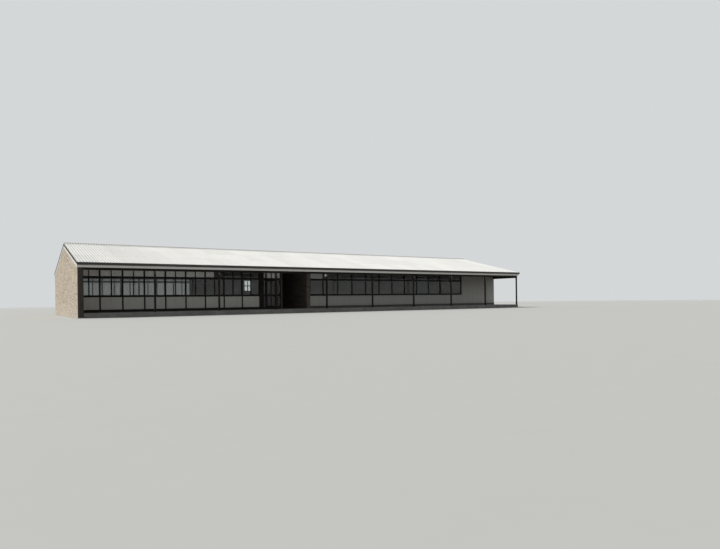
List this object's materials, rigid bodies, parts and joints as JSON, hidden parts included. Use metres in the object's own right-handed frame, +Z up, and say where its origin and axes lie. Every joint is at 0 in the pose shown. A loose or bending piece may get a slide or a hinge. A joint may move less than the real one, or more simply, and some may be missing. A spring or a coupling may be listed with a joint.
{
  "type": "school building",
  "caption": "Single-storey school block with a veranda on each long side, brick gables, timber window walls, a glazed entrance door and a low corrugated gable roof.",
  "frame": {"origin": "on the ground under the middle of the roof, halfway along its length", "axes": "+X along the length towards the open end of the veranda, +Y from the veranda to the rear, +Z up"},
  "size_m": [33.247, 12.902, 4.4931],
  "materials": {
    "concrete": "matte",
    "brick": "matte",
    "fibre_cement_sheet": "matte",
    "dark_timber": "satin",
    "pale_timber": "satin",
    "spandrel_panel": "matte",
    "render_coat": "matte",
    "plinth_coat": "matte",
    "lining": "matte",
    "gutter_metal": "satin",
    "glass": "clear",
    "opal_glass": "satin",
    "ironmongery": "satin"
  },
  "bodies": {
    "building": {"room_slab": "concrete", "veranda_slabs": "concrete", "west_gable_wall": "brick", "east_gable_wall": "brick", "east_gable_infills": "spandrel_panel", "veranda_posts": "dark_timber", "veranda_beams": "dark_timber", "veranda_end_beams": "dark_timber", "veranda_linings": "lining", "ceiling": "lining", "front_roof_slope": "fibre_cement_sheet", "rear_roof_slope": "fibre_cement_sheet", "ridge_capping": "fibre_cement_sheet", "fascias": "pale_timber", "gutters": "gutter_metal", "barge_cappings": "dark_timber", "barge_boards": "pale_timber", "front_frame_west": "dark_timber", "front_spandrels_west": "spandrel_panel", "front_glass": "glass", "entrance_side_frames": "dark_timber", "entrance_head_frame": "dark_timber", "entrance_glass": "glass", "door_frame_hinges": "ironmongery", "porch_west_wall": "dark_timber", "porch_cross_wall": "brick", "porch_back_wall": "dark_timber", "porch_header": "dark_timber", "front_wall_east": "render_coat", "front_plinth_east": "plinth_coat", "front_frame_east": "dark_timber", "rear_frame_west": "dark_timber", "rear_spandrels_west": "spandrel_panel", "rear_glass": "glass", "rear_wall": "render_coat", "rear_window_frames": "dark_timber", "veranda_lamp": "opal_glass"},
    "entrance_door_leaf": {"entrance_door": "dark_timber", "entrance_door_glass": "glass", "door_leaf_hinges": "ironmongery", "door_handles": "ironmongery"}
  },
  "joints": [
    {"name": "entrance_door_hinge", "type": "hinge", "parent": "building", "child": "entrance_door_leaf", "pos_m": [-4.9145, -3.523, 1.24], "axis": [0, 0, 1], "range_deg": [0, 90]}
  ]
}
